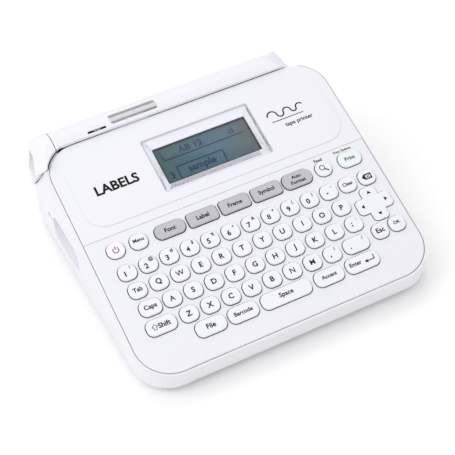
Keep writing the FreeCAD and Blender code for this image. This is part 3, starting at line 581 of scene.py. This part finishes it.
# plain name and drawn mark on the panel
panelPrint = Marks("panel_print")
panelPrint.text("LABELS", at(onPanel, -56.8, 29.4), width=27.0, weight=0.13)
swing = {"x": 44.5, "y": 35.4, "width": 0.85}
for radius, sweep in ((3.1, -180), (2.2, 180), (2.5, -180), (1.8, 180), (2.4, -150)):
    panelPrint.arc(swing["x"] + radius, swing["y"], radius, swing["width"], 180, sweep, onPanel)
    swing["x"] += 2 * radius
panelPrint.bar(45.5, 31.0, 66.5, 31.0, 0.5, onPanel)
panelPrint.text("tape printer", at(onPanel, 61.2, 26.2), width=18.5, weight=0.08)
panelPrint.finish("case", "black")
print("covers printed")

# what the display shows: plain sample text in a frame
view = {"left": -28.2, "right": 31.4, "bottom": 18.2, "top": 42.4, "stroke": 0.75, "weight": 0.15}
cellTop = capFace("lcd_module", onPanel)["top"]


def onView(across, down):
    return (view["left"] + across * (view["right"] - view["left"]),
            view["top"] - down * (view["top"] - view["bottom"]))


cell = Marks("display_image")
flat = at(onPanel, 0, 0, cellTop)
strokes = [((0.05, 0.06), (0.06, 0.30)), ((0.055, 0.30), (0.075, 0.36)), ((0.07, 0.36), (0.94, 0.36)),
           ((0.14, 0.62), (0.64, 0.62)), ((0.14, 0.61), (0.14, 1.02)), ((0.64, 0.61), (0.64, 1.02))]
for first, last in strokes:
    cell.bar(*onView(*first), *onView(*last), view["stroke"], flat)
samples = (("AB 12", 0.37, 0.2, 6.2), ("12", 0.82, 0.22, 4.2), ("sample", 0.39, 0.81, 6.4),
           ("3", 0.07, 0.8, 6.0))
for words, across, down, size in samples:
    x, y = onView(across, down)
    cell.text(words, at(flat, x, y), size=size, weight=view["weight"])
cell.finish("case", "cell")
print("display drawn")


def touch(nodeName, origin, direction):
    # where a line from outside meets a node, and which way the surface faces there
    hit, place, normal, _ = nodes[nodeName].ray_cast(Vector(origin) * mm, Vector(direction).normalized())
    if not hit:
        raise RuntimeError(f"nothing of {nodeName} lies along that line")
    return place, normal


def lyingOn(place, normal, right):
    # axes that lie on that surface, x towards right
    across = (Vector(right) - normal * normal.dot(Vector(right))).normalized()
    up = normal.cross(across)
    turn = Matrix((across, up, normal)).transposed().to_4x4()
    return Matrix.Translation(place) @ turn


# tape-width mark beside the window, and the signs above the two sockets
place, normal = touch("tape_cover", (-53, 61.2, 90), (0, 0, -1))
mark = Marks("tape_mark")
spot = lyingOn(place, normal, (1, 0, 0))
mark.bar(-5.8, 0, 5.8, 0, 1.4, spot)
mark.finish("tape_cover_body", "black")
ticks = Marks("tape_mark_ticks")
for x in (-1.8, -0.9, 0.0, 0.9, 1.8):
    ticks.bar(x, -0.3, x, 0.3, 0.35, spot @ Matrix.Translation((0, 0, printing["film"] * mm)))
ticks.finish("tape_cover_body", "white")

place, normal = touch("lower_case", (-130, 53.5, 25.5), (1, 0, 0))
mark = Marks("socket_signs")
spot = lyingOn(place, normal, (0, -1, 0))
mark.arc(-2.2, 0, 1.1, 0.5, 40, 280, spot)
mark.bar(-2.2, 0, 0.4, 0, 0.5, spot)
mark.shape([(1.4, -1.0), (3.4, 0), (1.4, 1.0)], spot)
mark.finish("case", "pale")

# paper label on the top of the cassette, seen through the window, with plain printed bands
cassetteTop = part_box("tape_cassette")[1].z
paper = {"left": -52.0, "right": 27.0, "front": 61.2, "rear": 73.2}
label = Marks("cassette_label")
flatTop = Matrix.Translation((0, 0, cassetteTop))
label.shape([(paper["left"], paper["front"]), (paper["right"], paper["front"]),
             (paper["right"], paper["rear"]), (paper["left"], paper["rear"])], flatTop)
label.finish("case", "white")
bands = Marks("cassette_label_print")
for left, right, front, rear in ((-20.0, -12.0, 62.0, 70.0), (-50.0, 25.0, 71.0, 72.2)):
    bands.shape([(left, front), (right, front), (right, rear), (left, rear)],
                flatTop @ Matrix.Translation((0, 0, printing["film"] * mm)))
bands.finish("case", "grey")

# the end of the label tape, from the cassette to where the blade last cut it
tape = {"from": -56.0, "to": -86.9, "front": 63.5, "rear": 75.5, "height": 54.95}
strip = Marks("label_tape")
strip.shape([(tape["to"], tape["front"]), (tape["from"], tape["front"]),
             (tape["from"], tape["rear"]), (tape["to"], tape["rear"])],
            Matrix.Translation((0, 0, tape["height"] * mm)))
strip.finish("case", "white")
print("small marks, cassette label and tape made")

# camera: where it stands, what it looks at, and its tilt on the line of sight
lens = {"from": (-199.0, -475.35, 535.4), "to": (-10.3, -21.7, 40.0), "roll": -5.28, "length": 96.54}
cameraData = bpy.data.cameras.new("camera")
cameraData.lens = lens["length"]
cameraData.sensor_width = 36.0
camera = bpy.data.objects.new("camera", cameraData)
bpy.context.scene.collection.objects.link(camera)
camera.location = Vector(lens["from"]) * mm
sight = Vector(lens["to"]) - Vector(lens["from"])
camera.rotation_mode = "QUATERNION"
camera.rotation_quaternion = (sight.to_track_quat("-Z", "Y")
                              @ Quaternion((0, 0, 1), math.radians(lens["roll"])))
cameraData.clip_end = 20.0
bpy.context.scene.camera = camera

# plain pale floor: half its side in metres, fibres in a metre, depth in mm
paperFloor = {"half": 4.0, "colour": "#fafafa", "rough": 0.9, "gloss": 0.1,
              "fibres": 900.0, "bump": 0.05, "depth": 0.1}
floorMesh = bmesh.new()
bmesh.ops.create_grid(floorMesh, x_segments=1, y_segments=1, size=paperFloor["half"])
floorData = bpy.data.meshes.new("floor")
floorMesh.to_mesh(floorData)
floorMesh.free()
floorLook = newMaterial("paper_white_matt")  # a seamless paper sweep: even, without gloss
fibre = addNode(floorLook, "ShaderNodeTexNoise", inputs={"Scale": paperFloor["fibres"], "Detail": 2.0},
                links={"Vector": addNode(floorLook, "ShaderNodeTexCoord").outputs["Object"]})
tooth = addNode(floorLook, "ShaderNodeBump", inputs={
    "Strength": paperFloor["bump"], "Distance": paperFloor["depth"] * mm}, links={"Height": fibre.outputs[0]})
sheetOfPaper = addNode(floorLook, "ShaderNodeBsdfPrincipled", inputs={
    "Base Color": linear(paperFloor["colour"]), "Roughness": paperFloor["rough"],
    "Specular IOR Level": paperFloor["gloss"]},
    links={"Normal": tooth.outputs[0]})
output(floorLook, sheetOfPaper.outputs[0])
floorData.materials.append(floorLook)
floor = bpy.data.objects.new("floor", floorData)
bpy.context.scene.collection.objects.link(floor)

aim = Vector((0, 0, 0.03))     # middle of the object, in metres
surround = {"colour": (1.0, 1.0, 1.0, 1.0), "strength": 0.8}
lamps = {
    # soft boxes: place and size in metres, and power in watts; each looks at the aim
    "key_left": {"place": (-0.95, 0.05, 1.0), "size": 1.1, "power": 5.9},
    "top_back": {"place": (0.25, 0.95, 1.35), "size": 1.3, "power": 5.6},
    "front_fill": {"place": (0.3, -1.5, 0.9), "size": 1.4, "power": 2.2},
}
for name, lamp in lamps.items():
    data = bpy.data.lights.new(name, "AREA")
    data.shape = "SQUARE"
    data.size = lamp["size"]
    data.energy = lamp["power"]
    light = bpy.data.objects.new(name, data)
    bpy.context.scene.collection.objects.link(light)
    light.location = lamp["place"]
    light.rotation_euler = (aim - light.location).to_track_quat("-Z", "Y").to_euler()

world = bpy.data.worlds.new("studio")
world.use_nodes = True
background = world.node_tree.nodes["Background"]
background.inputs[0].default_value = surround["colour"]
background.inputs[1].default_value = surround["strength"]
bpy.context.scene.world = world
bpy.context.scene.view_settings.view_transform = "Standard"
print("camera, floor and lamps placed")
